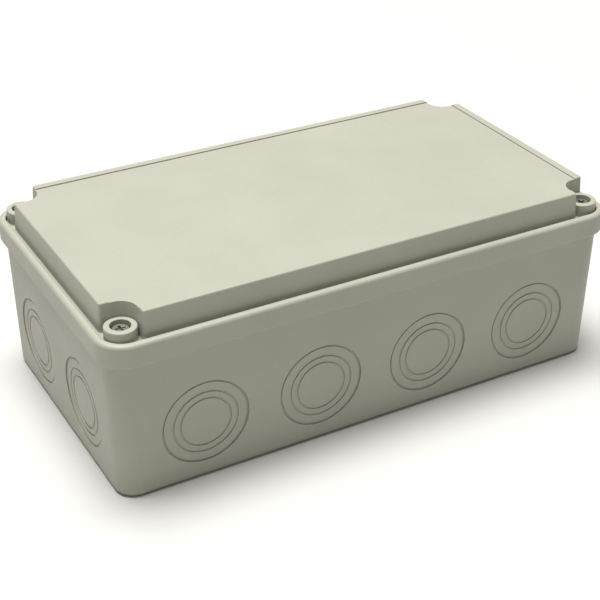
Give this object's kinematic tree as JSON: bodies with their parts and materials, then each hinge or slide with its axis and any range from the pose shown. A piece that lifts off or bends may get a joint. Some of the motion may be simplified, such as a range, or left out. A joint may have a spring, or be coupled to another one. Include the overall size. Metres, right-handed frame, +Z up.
{
  "type": "electrical junction box",
  "caption": "Rectangular screwed-lid junction box in grey moulded plastic, with knockout rings on every wall and a rail of screw terminals inside.",
  "frame": {"origin": "centre of the underside, on the surface that the box is fixed to", "axes": "+X along the length, +Y from front to back, +Z up out of the lid"},
  "size_m": [0.2096, 0.115, 0.0732],
  "materials": {
    "box_plastic": "moulded, fine satin grain",
    "gasket_rubber": "matte foam rubber",
    "seal_rubber": "matte",
    "brass": "turned, knurled",
    "plug_plastic": "moulded",
    "zinc_steel": "zinc plated",
    "lid_screw_steel": "stainless, satin",
    "clamp_steel": "zinc plated and chromated",
    "tinned_copper": "tin plated",
    "terminal_plastic": "moulded polyamide",
    "earth_plastic": "moulded polyamide, green and yellow",
    "stop_plastic": "moulded polyamide"
  },
  "bodies": {
    "base_body": {"base": "box_plastic", "gasket": "gasket_rubber", "thread_inserts": "brass", "fixing_plugs": "plug_plastic", "rail": "zinc_steel", "rail_screws": "zinc_steel", "terminal_housing_1": "terminal_plastic", "terminal_housing_2": "terminal_plastic", "terminal_housing_3": "terminal_plastic", "terminal_housing_4": "terminal_plastic", "earth_housing": "earth_plastic", "earth_foot": "zinc_steel", "end_plate": "terminal_plastic", "end_stop_left": "stop_plastic", "end_stop_right": "stop_plastic", "end_stop_screws": "zinc_steel", "current_bar_1": "tinned_copper", "current_bar_2": "tinned_copper", "current_bar_3": "tinned_copper", "current_bar_4": "tinned_copper", "current_bar_5": "tinned_copper"},
    "lid_body": {"lid": "box_plastic"},
    "seal_front_left": {"screw_seal_front_left": "seal_rubber"},
    "screw_front_left": {"lid_screw_front_left": "lid_screw_steel"},
    "seal_front_right": {"screw_seal_front_right": "seal_rubber"},
    "screw_front_right": {"lid_screw_front_right": "lid_screw_steel"},
    "seal_back_left": {"screw_seal_back_left": "seal_rubber"},
    "screw_back_left": {"lid_screw_back_left": "lid_screw_steel"},
    "seal_back_right": {"screw_seal_back_right": "seal_rubber"},
    "screw_back_right": {"lid_screw_back_right": "lid_screw_steel"},
    "cage_1_front": {"clamp_cage_1_front": "clamp_steel"},
    "clamp_1_front": {"clamp_screw_1_front": "clamp_steel"},
    "cage_1_back": {"clamp_cage_1_back": "clamp_steel"},
    "clamp_1_back": {"clamp_screw_1_back": "clamp_steel"},
    "cage_2_front": {"clamp_cage_2_front": "clamp_steel"},
    "clamp_2_front": {"clamp_screw_2_front": "clamp_steel"},
    "cage_2_back": {"clamp_cage_2_back": "clamp_steel"},
    "clamp_2_back": {"clamp_screw_2_back": "clamp_steel"},
    "cage_3_front": {"clamp_cage_3_front": "clamp_steel"},
    "clamp_3_front": {"clamp_screw_3_front": "clamp_steel"},
    "cage_3_back": {"clamp_cage_3_back": "clamp_steel"},
    "clamp_3_back": {"clamp_screw_3_back": "clamp_steel"},
    "cage_4_front": {"clamp_cage_4_front": "clamp_steel"},
    "clamp_4_front": {"clamp_screw_4_front": "clamp_steel"},
    "cage_4_back": {"clamp_cage_4_back": "clamp_steel"},
    "clamp_4_back": {"clamp_screw_4_back": "clamp_steel"},
    "cage_5_front": {"clamp_cage_5_front": "clamp_steel"},
    "clamp_5_front": {"clamp_screw_5_front": "clamp_steel"},
    "cage_5_back": {"clamp_cage_5_back": "clamp_steel"},
    "clamp_5_back": {"clamp_screw_5_back": "clamp_steel"}
  },
  "joints": [
    {"name": "lid_lift", "type": "slide", "parent": "base_body", "child": "lid_body", "axis": [0, 0, 1], "range_m": [0, 0.09]},
    {"name": "screw_rise_front_left", "type": "slide", "parent": "lid_body", "child": "seal_front_left", "axis": [0, 0, 1], "range_m": [0, 0.0075]},
    {"name": "screw_turn_front_left", "type": "hinge", "parent": "seal_front_left", "child": "screw_front_left", "pos_m": [-0.09545, -0.04815, 0.0655], "axis": [0, 0, 1], "range_deg": [0, 4502]},
    {"name": "screw_rise_front_right", "type": "slide", "parent": "lid_body", "child": "seal_front_right", "axis": [0, 0, 1], "range_m": [0, 0.0075]},
    {"name": "screw_turn_front_right", "type": "hinge", "parent": "seal_front_right", "child": "screw_front_right", "pos_m": [0.09545, -0.04815, 0.0655], "axis": [0, 0, 1], "range_deg": [0, 4502]},
    {"name": "screw_rise_back_left", "type": "slide", "parent": "lid_body", "child": "seal_back_left", "axis": [0, 0, 1], "range_m": [0, 0.0075]},
    {"name": "screw_turn_back_left", "type": "hinge", "parent": "seal_back_left", "child": "screw_back_left", "pos_m": [-0.09545, 0.04815, 0.0655], "axis": [0, 0, 1], "range_deg": [0, 4502]},
    {"name": "screw_rise_back_right", "type": "slide", "parent": "lid_body", "child": "seal_back_right", "axis": [0, 0, 1], "range_m": [0, 0.0075]},
    {"name": "screw_turn_back_right", "type": "hinge", "parent": "seal_back_right", "child": "screw_back_right", "pos_m": [0.09545, 0.04815, 0.0655], "axis": [0, 0, 1], "range_deg": [0, 4502]},
    {"name": "cage_rise_1_front", "type": "slide", "parent": "base_body", "child": "cage_1_front", "axis": [0, 0, 1], "range_m": [0, 0.00325]},
    {"name": "clamp_turn_1_front", "type": "hinge", "parent": "base_body", "child": "clamp_1_front", "pos_m": [-0.012, -0.014, 0.038], "axis": [0, 0, -1], "range_deg": [0, 2342]},
    {"name": "cage_rise_1_back", "type": "slide", "parent": "base_body", "child": "cage_1_back", "axis": [0, 0, 1], "range_m": [0, 0.00325]},
    {"name": "clamp_turn_1_back", "type": "hinge", "parent": "base_body", "child": "clamp_1_back", "pos_m": [-0.012, 0.014, 0.038], "axis": [0, 0, -1], "range_deg": [0, 2342]},
    {"name": "cage_rise_2_front", "type": "slide", "parent": "base_body", "child": "cage_2_front", "axis": [0, 0, 1], "range_m": [0, 0.00325]},
    {"name": "clamp_turn_2_front", "type": "hinge", "parent": "base_body", "child": "clamp_2_front", "pos_m": [-0.0058, -0.014, 0.038], "axis": [0, 0, -1], "range_deg": [0, 2342]},
    {"name": "cage_rise_2_back", "type": "slide", "parent": "base_body", "child": "cage_2_back", "axis": [0, 0, 1], "range_m": [0, 0.00325]},
    {"name": "clamp_turn_2_back", "type": "hinge", "parent": "base_body", "child": "clamp_2_back", "pos_m": [-0.0058, 0.014, 0.038], "axis": [0, 0, -1], "range_deg": [0, 2342]},
    {"name": "cage_rise_3_front", "type": "slide", "parent": "base_body", "child": "cage_3_front", "axis": [0, 0, 1], "range_m": [0, 0.00325]},
    {"name": "clamp_turn_3_front", "type": "hinge", "parent": "base_body", "child": "clamp_3_front", "pos_m": [0.0004, -0.014, 0.038], "axis": [0, 0, -1], "range_deg": [0, 2342]},
    {"name": "cage_rise_3_back", "type": "slide", "parent": "base_body", "child": "cage_3_back", "axis": [0, 0, 1], "range_m": [0, 0.00325]},
    {"name": "clamp_turn_3_back", "type": "hinge", "parent": "base_body", "child": "clamp_3_back", "pos_m": [0.0004, 0.014, 0.038], "axis": [0, 0, -1], "range_deg": [0, 2342]},
    {"name": "cage_rise_4_front", "type": "slide", "parent": "base_body", "child": "cage_4_front", "axis": [0, 0, 1], "range_m": [0, 0.00325]},
    {"name": "clamp_turn_4_front", "type": "hinge", "parent": "base_body", "child": "clamp_4_front", "pos_m": [0.0066, -0.014, 0.038], "axis": [0, 0, -1], "range_deg": [0, 2342]},
    {"name": "cage_rise_4_back", "type": "slide", "parent": "base_body", "child": "cage_4_back", "axis": [0, 0, 1], "range_m": [0, 0.00325]},
    {"name": "clamp_turn_4_back", "type": "hinge", "parent": "base_body", "child": "clamp_4_back", "pos_m": [0.0066, 0.014, 0.038], "axis": [0, 0, -1], "range_deg": [0, 2342]},
    {"name": "cage_rise_5_front", "type": "slide", "parent": "base_body", "child": "cage_5_front", "axis": [0, 0, 1], "range_m": [0, 0.00325]},
    {"name": "clamp_turn_5_front", "type": "hinge", "parent": "base_body", "child": "clamp_5_front", "pos_m": [0.0128, -0.014, 0.038], "axis": [0, 0, -1], "range_deg": [0, 2342]},
    {"name": "cage_rise_5_back", "type": "slide", "parent": "base_body", "child": "cage_5_back", "axis": [0, 0, 1], "range_m": [0, 0.00325]},
    {"name": "clamp_turn_5_back", "type": "hinge", "parent": "base_body", "child": "clamp_5_back", "pos_m": [0.0128, 0.014, 0.038], "axis": [0, 0, -1], "range_deg": [0, 2342]}
  ],
  "couplings": [
    {"joint": "screw_turn_front_left", "follows": "screw_rise_front_left", "rad_per_m": 10472},
    {"joint": "screw_turn_front_right", "follows": "screw_rise_front_right", "rad_per_m": 10472},
    {"joint": "screw_turn_back_left", "follows": "screw_rise_back_left", "rad_per_m": 10472},
    {"joint": "screw_turn_back_right", "follows": "screw_rise_back_right", "rad_per_m": 10472},
    {"joint": "clamp_turn_1_front", "follows": "cage_rise_1_front", "rad_per_m": 12566},
    {"joint": "clamp_turn_1_back", "follows": "cage_rise_1_back", "rad_per_m": 12566},
    {"joint": "clamp_turn_2_front", "follows": "cage_rise_2_front", "rad_per_m": 12566},
    {"joint": "clamp_turn_2_back", "follows": "cage_rise_2_back", "rad_per_m": 12566},
    {"joint": "clamp_turn_3_front", "follows": "cage_rise_3_front", "rad_per_m": 12566},
    {"joint": "clamp_turn_3_back", "follows": "cage_rise_3_back", "rad_per_m": 12566},
    {"joint": "clamp_turn_4_front", "follows": "cage_rise_4_front", "rad_per_m": 12566},
    {"joint": "clamp_turn_4_back", "follows": "cage_rise_4_back", "rad_per_m": 12566},
    {"joint": "clamp_turn_5_front", "follows": "cage_rise_5_front", "rad_per_m": 12566},
    {"joint": "clamp_turn_5_back", "follows": "cage_rise_5_back", "rad_per_m": 12566}
  ]
}
